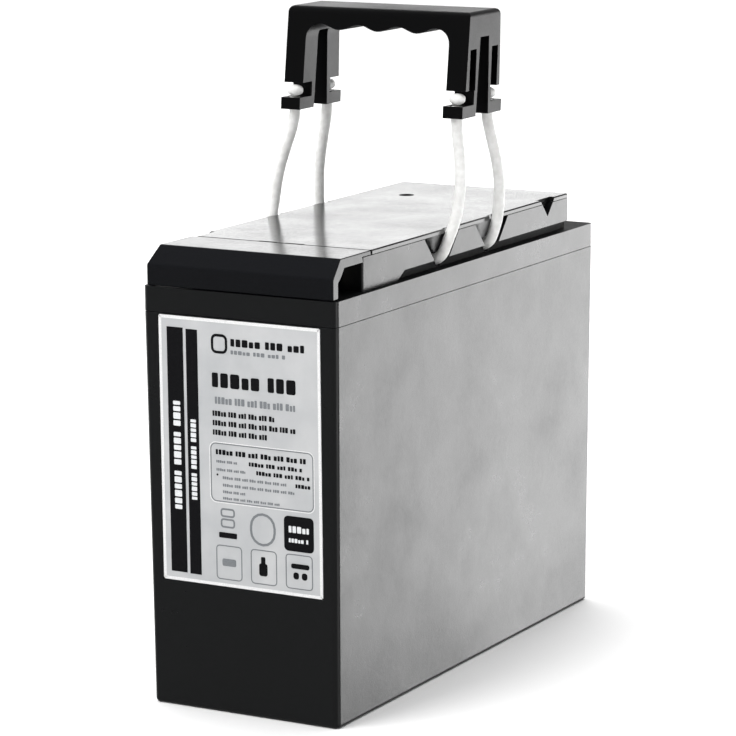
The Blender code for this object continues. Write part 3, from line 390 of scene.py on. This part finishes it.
# Colour, roughness
PASTES = {
    "positive_paste": ((0.17, 0.09, 0.06), 0.8),
    "negative_paste": ((0.30, 0.31, 0.33), 0.7),
    "glass_mat": ((0.80, 0.80, 0.78), 0.9),
    "valve_rubber": ((0.035, 0.035, 0.037), 0.6),
    "sintered": ((0.74, 0.73, 0.70), 0.85),
}
INKS = {
    "ink_black": (0.0045, 0.0045, 0.0055),
    "ink_grey": (0.17, 0.18, 0.19),
    "ink_pale": (0.62, 0.63, 0.64),
    "ink_white": (0.66, 0.66, 0.66),
}
MATERIALS = {
    "rope_white": rope_fibre(),
    "label_silver": label_film(),
    **{name: moulded_plastic(name, *values) for name, values in PLASTICS.items()},
    **{name: cast_metal(name, *values) for name, values in METALS.items()},
    **{name: dry_paste(name, *values) for name, values in PASTES.items()},
    **{name: ink(name, colour) for name, colour in INKS.items()},
}


def finish_kept_nodes():
    """Gives every CAD node the finish of its material slot."""
    slots = {row["node"]: row["material_slot"] for row in frame["record"]["subparts"]}
    for name, node in NODES.items():
        for slot in node.material_slots:
            slot.material = MATERIALS[slots[name]]


# Meshes


def put(name, bm, slot, finish=None, body="root", replaces=(), smooth=MOULDED):
    """Turns a bmesh into a named piece that rides on a body, or on none yet, and stands for CAD nodes."""
    mesh = bpy.data.meshes.new(name)
    bm.to_mesh(mesh)
    bm.free()
    mesh.materials.append(MATERIALS[finish or slot])
    piece = bpy.data.objects.new(name, mesh)
    STORE.objects.link(piece)
    mesh.shade_smooth()
    mesh.set_sharp_from_angle(angle=math.radians(smooth))
    if body:
        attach(piece, body)
    if replaces:
        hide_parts(*replaces)
    return piece


def even_normals(piece):
    """Keeps large flat faces flat-shaded beside their rounded edges."""
    keeper = piece.modifiers.new("even_normals", "WEIGHTED_NORMAL")
    keeper.keep_sharp = True
    keeper.weight = 100


def made_verts(result):
    return [item for item in result["geom"] if isinstance(item, bmesh.types.BMVert)]


def add_block(bm, low, high):
    made = bmesh.ops.create_cube(bm, size=1.0)["verts"]
    bmesh.ops.scale(bm, vec=Vector(high) - Vector(low), verts=made)
    bmesh.ops.translate(bm, vec=(Vector(low) + Vector(high)) / 2, verts=made)
    return made


def round_edges(bm, edges, radius, segments):
    bmesh.ops.bevel(
        bm,
        geom=list(edges),
        offset=radius,
        offset_type="OFFSET",
        affect="EDGES",
        segments=segments,
        profile=0.5,
        material=-1,
        clamp_overlap=True,
    )


def sink(bm, face, shift):
    """Extrudes a face by a shift, which leaves a recess with the face as its floor."""
    grown = bmesh.ops.extrude_face_region(bm, geom=[face])
    bmesh.ops.delete(bm, geom=[face], context="FACES")
    bmesh.ops.translate(bm, vec=shift, verts=made_verts(grown))


def facing(bm, direction):
    """The faces that look along a direction."""
    bm.normal_update()
    return [face for face in bm.faces if face.normal.dot(Vector(direction)) > SQUARE_ON]


# Case


def case_shell():
    """The case's outside: drafted to the foot, with rounded corners and a rounded foot."""
    bm = bmesh.new()
    low = (-CASE_HALF_WIDTH, -CASE_HALF_LENGTH, 0.0)
    high = (CASE_HALF_WIDTH, CASE_HALF_LENGTH, CASE_HEIGHT)
    for vert in add_block(bm, low, high):
        if vert.co.z < CASE_HEIGHT / 2:
            vert.co.x -= math.copysign(CASE_DRAFT, vert.co.x)
            vert.co.y -= math.copysign(CASE_DRAFT, vert.co.y)
    upright = [e for e in bm.edges if abs(e.verts[0].co.z - e.verts[1].co.z) > CASE_HEIGHT / 2]
    round_edges(bm, upright, CASE_CORNER, CORNER_STEPS)
    foot = [e for e in bm.edges if max(v.co.z for v in e.verts) < CASE_FLOOR]
    round_edges(bm, foot, CASE_FOOT, ROUND_STEPS)
    return bm


def hollow_out(bm):
    """Opens the top down to the floor, and rounds the rim."""
    top = max(facing(bm, (0, 0, 1)), key=lambda face: face.calc_area())
    bmesh.ops.inset_region(bm, faces=[top], thickness=CASE_WALL, use_even_offset=True)
    sink(bm, top, (0.0, 0.0, CASE_FLOOR - CASE_HEIGHT))
    rim = [e for e in bm.edges if min(v.co.z for v in e.verts) > CASE_HEIGHT - MERGE]
    round_edges(bm, rim, CASE_RIM_EDGE, PLAIN_STEPS)


def front_faces(bm):
    return [face for face in facing(bm, (0, -1, 0)) if face.calc_center_median().y < 0]


def within_label(co):
    slack = 2 * MERGE
    return abs(co.x) < LABEL_SIDE + slack and LABEL_FOOT - slack < co.z < LABEL_HEAD + slack


def press_label_recess(bm):
    """Cuts the label's outline into the front end and presses it in."""
    for plane, normal in (
        ((0, 0, LABEL_FOOT), (0, 0, 1)),
        ((0, 0, LABEL_HEAD), (0, 0, 1)),
        ((LABEL_SIDE, 0, 0), (1, 0, 0)),
        ((-LABEL_SIDE, 0, 0), (1, 0, 0)),
    ):
        geom = dict.fromkeys(item for f in front_faces(bm) for item in (f, *f.edges, *f.verts))
        bmesh.ops.bisect_plane(bm, geom=list(geom), plane_co=plane, plane_no=normal, dist=MERGE)
    pane = next(f for f in front_faces(bm) if all(within_label(v.co) for v in f.verts))
    sink(bm, pane, (0.0, LABEL_RECESS, 0.0))


def make_case():
    """The drafted case with its label recess, open over the cell space, and its partitions."""
    bm = case_shell()
    hollow_out(bm)
    press_label_recess(bm)
    bmesh.ops.recalc_face_normals(bm, faces=bm.faces)
    even_normals(put("battery_case", bm, "case_black", replaces=("case",), smooth=CRISP))

    walls = bmesh.new()
    inside_x = CASE_HALF_WIDTH - CASE_DRAFT - CASE_WALL
    inside_y = CASE_HALF_LENGTH - CASE_DRAFT - CASE_WALL
    cell = (2 * inside_y - 2 * PARTITION) / 3
    half, top = PARTITION / 2, CASE_HEIGHT - PARTITION_DROP
    add_block(walls, (-half, -inside_y, CASE_FLOOR), (half, inside_y, top))
    for side in (-1, 1):
        y = side * (cell + PARTITION) / 2
        add_block(walls, (-inside_x, y - half, CASE_FLOOR), (inside_x, y + half, top))
    put("cell_walls", walls, "case_black", smooth=CRISP)


# Mouldings


def moulded_copy(node):
    """A joined copy of a CAD node, with its flat faces made whole."""
    bm = bmesh.new()
    bm.from_mesh(NODES[node].data)
    bmesh.ops.remove_doubles(bm, verts=bm.verts, dist=MERGE)
    bmesh.ops.dissolve_limit(
        bm, angle_limit=FLAT_ANGLE, verts=bm.verts, edges=bm.edges, use_dissolve_boundaries=False
    )
    return bm


def moulding(name, node, slot, radius, body="root", segments=PLAIN_STEPS):
    """A CAD node's shape with a radius on every edge that is sharper than its own curves."""
    bm = moulded_copy(node)
    sharp = [
        edge
        for edge in bm.edges
        if len(edge.link_faces) == 2 and edge.calc_face_angle(0.0) > SHARP_ANGLE
    ]
    round_edges(bm, sharp, radius, segments)
    piece = put(name, bm, slot, body=body, replaces=(node,))
    even_normals(piece)
    return piece


def paint_recess_shade(piece, inside):
    """Paints shade into a moulding's recesses: their faces get a darker, matte black that stands in for
    the shade that falls there.
    """
    piece.data.materials.append(MATERIALS["lid_recess_painted_shade"])
    for face in piece.data.polygons:
        if inside(abs(face.center.x), abs(face.center.y), face.center.z, face.normal):
            face.material_index = 1


# Painted shade goes on these pry notch faces behind the raised block's sides
def in_pry_notch(x, y, z, normal):
    behind = RECESS_BACK < x < RECESS_FRONT
    return behind and abs(y - NOTCH_Y) < NOTCH_HALF and z > NOTCH_FOOT and normal.z < NOTCH_LEVEL


# Painted shade goes on these faces: the ledge, the shadow strips and the pry notches
def in_lid_recess(x, y, z, normal):
    on_ledge = normal.z > LEDGE_LEVEL and abs(z - LEDGE) < LEDGE_MARGIN
    in_strip = RECESS_BACK < x < RECESS_FRONT and LEDGE - LEDGE_MARGIN < z < STRIP_HEAD
    return on_ledge or in_strip or in_pry_notch(x, y, z, normal)


def make_mouldings():
    # The lid's ledge, strips and notches and the top plate's notches get the painted shade
    paint_recess_shade(moulding("stepped_lid", "lid", "lid_black", LID_EDGE), in_lid_recess)
    paint_recess_shade(moulding("long_top_plate", "top_plate", "plate_black", PLATE_EDGE), in_pry_notch)
    moulding("front_cover", "terminal_cover", "cover_black", COVER_EDGE, "terminal_cover", MOULDED_STEPS)
    moulding("grip_handle", "handle", "handle_black", GRIP_EDGE, "handle", MOULDED_STEPS)


def make_vent_plug():
    """A low round plug with a rounded rim."""
    low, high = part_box("vent_plug")
    middle = (low + high) / 2
    radius = (high.x - low.x) / 2
    bm = bmesh.new()
    bmesh.ops.create_cone(
        bm, cap_ends=True, segments=ROUND_SIDES, radius1=radius, radius2=radius, depth=VENT_RISE
    )
    bmesh.ops.translate(bm, vec=(middle.x, middle.y, low.z + VENT_RISE / 2), verts=bm.verts)
    brim = [e for e in bm.edges if min(v.co.z for v in e.verts) > low.z + VENT_RISE - MERGE]
    round_edges(bm, brim, VENT_RISE * VENT_ROUNDING, ROUND_STEPS)
    put("vent_plug_head", bm, "vent_grey", replaces=("vent_plug",))


def make_terminal_fittings():
    for side in ("positive", "negative"):
        moulding(f"{side}_terminal_block", f"{side}_terminal", "tinned_brass", TERMINAL_EDGE)
        moulding(f"{side}_flat_washer", f"{side}_washer", "steel", WASHER_EDGE)
        moulding(f"{side}_hex_bolt", f"{side}_bolt", "steel", BOLT_EDGE, f"{side}_bolt")
        moulding(f"{side}_seal_ring", f"{side}_seal", f"{side}_mark", SEAL_EDGE)


def make_rope_stops():
    """Melted and pressed rope ends, a little lobed, each on its foot of the handle."""
    for name in [node for node in NODES if node.endswith("_rope_stop")]:
        low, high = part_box(name)
        size = high - low
        bm = bmesh.new()
        bmesh.ops.create_uvsphere(bm, u_segments=STOP_SIDES, v_segments=STOP_SIDES // 2, radius=0.5)
        for vert in bm.verts:
            turn = math.atan2(vert.co.y, vert.co.x)
            belt = max(0.0, 1 - (2 * vert.co.z) ** 2)
            wave = 1 - math.cos(STOP_LOBES * turn + STOP_TWIST * vert.co.z)
            lobes = 1 - STOP_LOBE_DEPTH * belt * wave
            vert.co *= size * Vector((lobes, lobes, 1.0))
        bmesh.ops.translate(bm, vec=(low + high) / 2, verts=bm.verts)
        bmesh.ops.recalc_face_normals(bm, faces=bm.faces)
        put(f"{name}_end", bm, "rope_white", body="handle", replaces=(name,), smooth=ROUND)


# Label


def label_face():
    """The label's outer face as (foot y, head y, foot z, head z), for it follows the drafted front."""
    low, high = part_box("front_label")
    middle = (low.z + high.z) / 2
    verts = [vert.co for vert in NODES["front_label"].data.vertices]
    foot = min(co.y for co in verts if co.z < middle)
    head = min(co.y for co in verts if co.z > middle)
    return foot, head, low.z, high.z


def lay_on_label(bm, lift):
    foot, head, low, high = label_face()
    for vert in bm.verts:
        share = (vert.co.z - low) / (high - low)
        vert.co.y += foot + (head - foot) * share - lift


def patch(bm, low, high, radius=0.0, thickness=INK_THICKNESS):
    """A thin printed patch between two corners (x, z), with rounded corners."""
    made = bmesh.ops.create_cube(bm, size=1.0)["verts"]
    middle = [(a + b) / (2 * MM) for a, b in zip(low, high)]
    size = [(b - a) / MM for a, b in zip(low, high)]
    bmesh.ops.scale(bm, vec=(size[0], thickness, size[1]), verts=made)
    bmesh.ops.translate(bm, vec=(middle[0], 0.0, middle[1]), verts=made)
    if radius:
        corners = dict.fromkeys(
            edge
            for vert in made
            for edge in vert.link_edges
            if abs(edge.verts[0].co.y - edge.verts[1].co.y) > thickness / 2
        )
        round_edges(bm, corners, radius / MM, PATCH_STEPS)


def outline(bm, low, high, radius, line):
    """A printed frame: a rounded rectangle with its middle left open."""
    flat = bmesh.new()
    patch(flat, low, high, radius)
    flat.normal_update()
    others = [face for face in flat.faces if face.normal.y > -0.5]
    bmesh.ops.delete(flat, geom=others, context="FACES")
    pane = flat.faces[:]
    bmesh.ops.inset_region(
        flat, faces=pane, thickness=line / MM, use_even_offset=True, use_boundary=True
    )
    bmesh.ops.delete(flat, geom=pane, context="FACES")
    grown = bmesh.ops.extrude_face_region(flat, geom=flat.faces[:])
    bmesh.ops.translate(flat, vec=(0.0, INK_THICKNESS, 0.0), verts=made_verts(grown))
    bmesh.ops.recalc_face_normals(flat, faces=flat.faces)
    mesh = bpy.data.meshes.new("outline")
    flat.to_mesh(mesh)
    flat.free()
    bm.from_mesh(mesh)
    bpy.data.meshes.remove(mesh)


def blocks(start, length, stroke, rhythm):
    """Start, end and full width of each block along a line of print, in groups with spaces between."""
    left, group, gap, space = rhythm
    end, number = start + length, 0
    while start < end - stroke / 2:
        wide = stroke * BLOCK_WIDTHS[number % len(BLOCK_WIDTHS)]
        yield start, min(start + wide, end), wide
        left -= 1
        start += wide + stroke * (gap if left else space)
        number += 1
        left = left or group


def words(bm, x, z, width, height, stroke):
    """A line of plain blocks in groups, with the rhythm of a line of print."""
    for number, (start, end, wide) in enumerate(blocks(x, width, stroke, WORD_RHYTHM)):
        drop = height * BLOCK_DROPS[number % len(BLOCK_DROPS)]
        patch(bm, (start, z), (end, z + height - drop), min(height, wide) * WORD_ROUNDING)


def rungs(bm, x, z, width, height, stroke):
    """A column of plain blocks, with the rhythm of print turned on its side."""
    for start, end, _ in blocks(z, height, stroke, RUNG_RHYTHM):
        patch(bm, (x, start), (x + width, end), stroke * RUNG_ROUNDING)


def label_print(name, ink_used, lift, *draws):
    """One ink's print. Each draw is a function and what it takes after the bmesh."""
    bm = bmesh.new()
    for draw, *values in draws:
        draw(bm, *values)
    lay_on_label(bm, INK_LIFT + lift)
    put(name, bm, "label_silver", ink_used, smooth=CRISP)


def make_label():
    """The film and its four inks: bars, lines of blocks, frames and plain marks."""
    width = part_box("front_label")[1].x * MM
    low, high = (z * MM for z in label_face()[2:])
    bm = bmesh.new()
    patch(bm, (-width, low), (width, high), 0.8, LABEL_THICKNESS)
    lay_on_label(bm, -LABEL_THICKNESS / 2)
    put("silver_label", bm, "label_silver", replaces=("front_label",), smooth=CRISP)
    label_print(
        "label_white_print", "ink_white", INK_THICKNESS / 2,
        (outline, (-width + 0.1, low + 0.1), (width - 0.1, high - 0.1), 0.7, 1.5),
        (outline, (-17.2, 104.0), (40.4, 133.8), 3.4, 0.45),
    )  # fmt: skip
    label_print(
        "label_black_print", "ink_black", INK_THICKNESS / 2,
        (patch, (-39.8, 67.4), (-30.8, 187.4)),
        (patch, (-29.2, 67.2), (-22.8, 187.0)),
        (outline, (-15.2, 176.6), (-6.2, 186.0), 2.8, 1.3),
        (words, -4.4, 180.6, 43.0, 3.6, 2.6),
        (words, -15.0, 160.2, 46.0, 7.0, 4.2),
        (words, -15.0, 146.2, 34.0, 2.6, 1.2),
        (words, -15.0, 141.6, 46.0, 2.6, 1.2),
        (words, -15.0, 137.0, 31.0, 2.6, 1.2),
        (words, -13.6, 127.6, 50.0, 2.5, 1.5),
        (words, 4.6, 123.5, 29.0, 2.0, 1.3),
        (words, 8.6, 119.6, 29.0, 2.0, 1.3),
        (words, 30.0, 115.6, 8.0, 1.9, 1.3),
        (patch, (-13.4, 117.2), (-12.4, 118.2), 0.4),
        (patch, (23.4, 84.8), (39.6, 101.8), 2.2),
        (patch, (-12.6, 87.0), (-2.6, 89.7), 0.5),
        (patch, (9.4, 70.6), (14.0, 76.8), 1.2),
        (patch, (10.5, 76.0), (12.9, 80.0), 0.6),
        (patch, (27.0, 76.4), (37.0, 78.8), 1.0),
        (patch, (28.2, 71.2), (31.2, 74.6), 1.2),
        (patch, (32.8, 71.2), (35.8, 74.6), 1.2),
    )  # fmt: skip
    label_print(
        "label_grey_print", "ink_grey", INK_THICKNESS / 2,
        (words, -4.4, 176.8, 30.0, 1.9, 1.7),
        (words, -13.6, 152.2, 44.0, 3.4, 1.5),
        (outline, (-16.6, 104.6), (39.8, 133.2), 3.0, 0.45),
        (words, -13.4, 123.6, 12.0, 1.3, 0.8),
        (words, -13.4, 119.6, 16.0, 1.3, 0.8),
        (words, -10.0, 115.8, 36.0, 1.4, 0.9),
        (words, -10.0, 112.2, 40.0, 1.4, 0.9),
        (words, -10.0, 109.0, 13.0, 1.3, 0.8),
        (words, -10.0, 105.9, 32.0, 1.2, 0.8),
        (outline, (-14.4, 66.4), (0.0, 83.4), 2.0, 0.5),
        (outline, (4.8, 66.4), (19.2, 83.4), 2.0, 0.5),
        (outline, (24.0, 66.4), (38.8, 83.4), 2.0, 0.5),
        (outline, (4.6, 85.2), (18.8, 101.4), 7.0, 1.2),
        (outline, (-11.6, 92.0), (-3.6, 96.6), 1.6, 0.9),
        (outline, (-11.6, 97.2), (-3.6, 101.6), 1.6, 0.9),
        (patch, (-11.0, 73.2), (-3.4, 76.8), 0.8),
    )  # fmt: skip
    label_print(
        "label_pale_print", "ink_pale", 1.5 * INK_THICKNESS,
        (rungs, -37.0, 98.5, 4.0, 53.0, 2.6),
        (rungs, -27.4, 104.0, 3.0, 40.0, 1.8),
        (words, 26.0, 93.8, 11.0, 3.2, 1.9),
        (words, 26.0, 89.0, 11.0, 2.0, 1.3),
    )  # fmt: skip


# Ropes


def smooth_route(route, step):
    """Points on a smooth curve through the route, about a step apart."""
    ends = [2 * route[0] - route[1], *route, 2 * route[-1] - route[-2]]
    points = []
    for p0, p1, p2, p3 in zip(ends, ends[1:], ends[2:], ends[3:]):
        count = max(1, round((p2 - p1).length / step))
        for i in range(count):
            t = i / count
            slope, bend = (p2 - p0) / 2, 2 * p0 - 5 * p1 + 4 * p2 - p3
            twist = 3 * (p1 - p2) + p3 - p0
            points.append(p1 + slope * t + bend / 2 * t * t + twist / 2 * t * t * t)
    points.append(route[-1])
    return points


def braid_height(angle, along):
    """Relief of a round braid: strands that wind both ways and pass over each other in turn."""
    turn = 2 * math.pi * along / BRAID_PITCH
    first = BRAID_STRANDS * angle + turn * BRAID_STRANDS / 2
    second = BRAID_STRANDS * angle - turn * BRAID_STRANDS / 2
    over = math.cos((first + second) / 2) * math.cos((first - second) / 2)
    share = 0.5 + 0.5 * math.tanh(BRAID_CROSSING * over)
    return abs(math.cos(first / 2)) * share + abs(math.cos(second / 2)) * (1 - share)


def next_ring(bm, ring):
    """Extrudes a ring of vertices and returns the new ring, in the same order."""
    loop = [bm.edges.get(pair) for pair in zip(ring, ring[1:] + ring[:1])]
    fresh = set(made_verts(bmesh.ops.extrude_edge_only(bm, edges=loop)))
    return [next(e.other_vert(v) for e in v.link_edges if e.other_vert(v) in fresh) for v in ring]


def make_rope(name, half_route):
    """One braided rope from foot to foot of the handle, through the lid."""
    right = [Vector(point) for point in half_route]
    left = [Vector((-p.x, p.y, p.z)) for p in reversed(right[1:])]
    points = smooth_route(left + right, ROPE_RING_STEP)
    bm = bmesh.new()
    ring = bmesh.ops.create_circle(bm, cap_ends=True, radius=ROPE_RADIUS, segments=ROPE_SIDES)["verts"]
    direction = (points[1] - points[0]).normalized()
    across = direction.orthogonal().normalized()
    along = 0.0
    for number, point in enumerate(points):
        if number:
            before = points[number - 1]
            ahead = points[min(number + 1, len(points) - 1)]
            along += (point - before).length
            turned = (ahead - before).normalized()
            across = direction.rotation_difference(turned) @ across
            direction = turned
            ring = next_ring(bm, ring)
        other = direction.cross(across)
        for i, vert in enumerate(ring):
            angle = 2 * math.pi * i / ROPE_SIDES
            radius = ROPE_RADIUS - BRAID_RELIEF * (1 - braid_height(angle, along))
            vert.co = point + (across * math.cos(angle) + other * math.sin(angle)) * radius
    bm.faces.new(ring)
    bmesh.ops.recalc_face_normals(bm, faces=bm.faces)
    rope = put(f"{name}_braid", bm, "rope_white", body=None, replaces=(name,), smooth=ROUND)
    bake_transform(rope)


# Stage


def make_floor():
    bm = bmesh.new()
    bmesh.ops.create_grid(bm, x_segments=4, y_segments=4, size=FLOOR_SIZE / 2)
    mesh = bpy.data.meshes.new("floor")
    bm.to_mesh(mesh)
    bm.free()
    material, shader = new_material("floor_pale", (0.90, 0.90, 0.90), 0.9, specular=0.1)
    colour_by(material, shader, noise(material, scale=3.0), (0.89, 0.89, 0.89), (0.91, 0.91, 0.91))
    mesh.materials.append(material)
    floor = bpy.data.objects.new("floor", mesh)
    STORE.objects.link(floor)
    floor.visible_glossy = False


def make_camera():
    back = Vector((
        math.sin(CAMERA_TURN) * math.cos(CAMERA_TILT),
        -math.cos(CAMERA_TURN) * math.cos(CAMERA_TILT),
        math.sin(CAMERA_TILT),
    ))
    level = (-back).cross(Vector((0.0, 0.0, 1.0))).normalized()
    upright = level.cross(-back)
    right = level * math.cos(CAMERA_ROLL) + upright * math.sin(CAMERA_ROLL)
    up = upright * math.cos(CAMERA_ROLL) - level * math.sin(CAMERA_ROLL)
    camera = bpy.data.objects.new("camera", bpy.data.cameras.new("camera"))
    camera.data.lens = CAMERA_LENS
    camera.data.sensor_width = CAMERA_SENSOR
    camera.data.clip_end = CAMERA_REACH
    turned = Matrix((right, up, back)).transposed().to_4x4()
    camera.matrix_world = Matrix.Translation(CAMERA_PLACE) @ turned
    STORE.objects.link(camera)
    bpy.context.scene.camera = camera


def add_softbox(name, place_at, aim, width, height, radiance, reflected):
    light = bpy.data.lights.new(name, "AREA")
    light.shape = "RECTANGLE"
    light.size = width
    light.size_y = height
    light.energy = radiance * math.pi * width * height
    lamp = bpy.data.objects.new(name, light)
    lamp.location = place_at
    lamp.rotation_euler = (Vector(aim) - Vector(place_at)).to_track_quat("-Z", "Y").to_euler()
    lamp.visible_camera = False
    lamp.visible_glossy = reflected
    STORE.objects.link(lamp)


def make_lights():
    for name, values in SOFTBOXES.items():
        add_softbox(name, *values)
    ceiling = bpy.data.lights.new("ceiling", "SUN")
    ceiling.energy = CEILING_STRENGTH
    ceiling.angle = CEILING_SPREAD
    lamp = bpy.data.objects.new("ceiling", ceiling)
    lamp.rotation_euler = CEILING_TILT
    lamp.visible_glossy = False
    STORE.objects.link(lamp)
    world = bpy.data.worlds.new("studio")
    world.use_nodes = True
    background = world.node_tree.nodes["Background"]
    background.inputs["Color"].default_value = (1.0, 1.0, 1.0, 1.0)
    background.inputs["Strength"].default_value = STUDIO_STRENGTH
    bpy.context.scene.world = world
    bpy.context.scene.view_settings.view_transform = "Standard"


make_camera()
make_lights()
make_floor()
finish_kept_nodes()
make_case()
make_mouldings()
make_vent_plug()
make_terminal_fittings()
make_rope_stops()
make_label()
make_rope("front_rope", FRONT_ROUTE)
make_rope("back_rope", BACK_ROUTE)
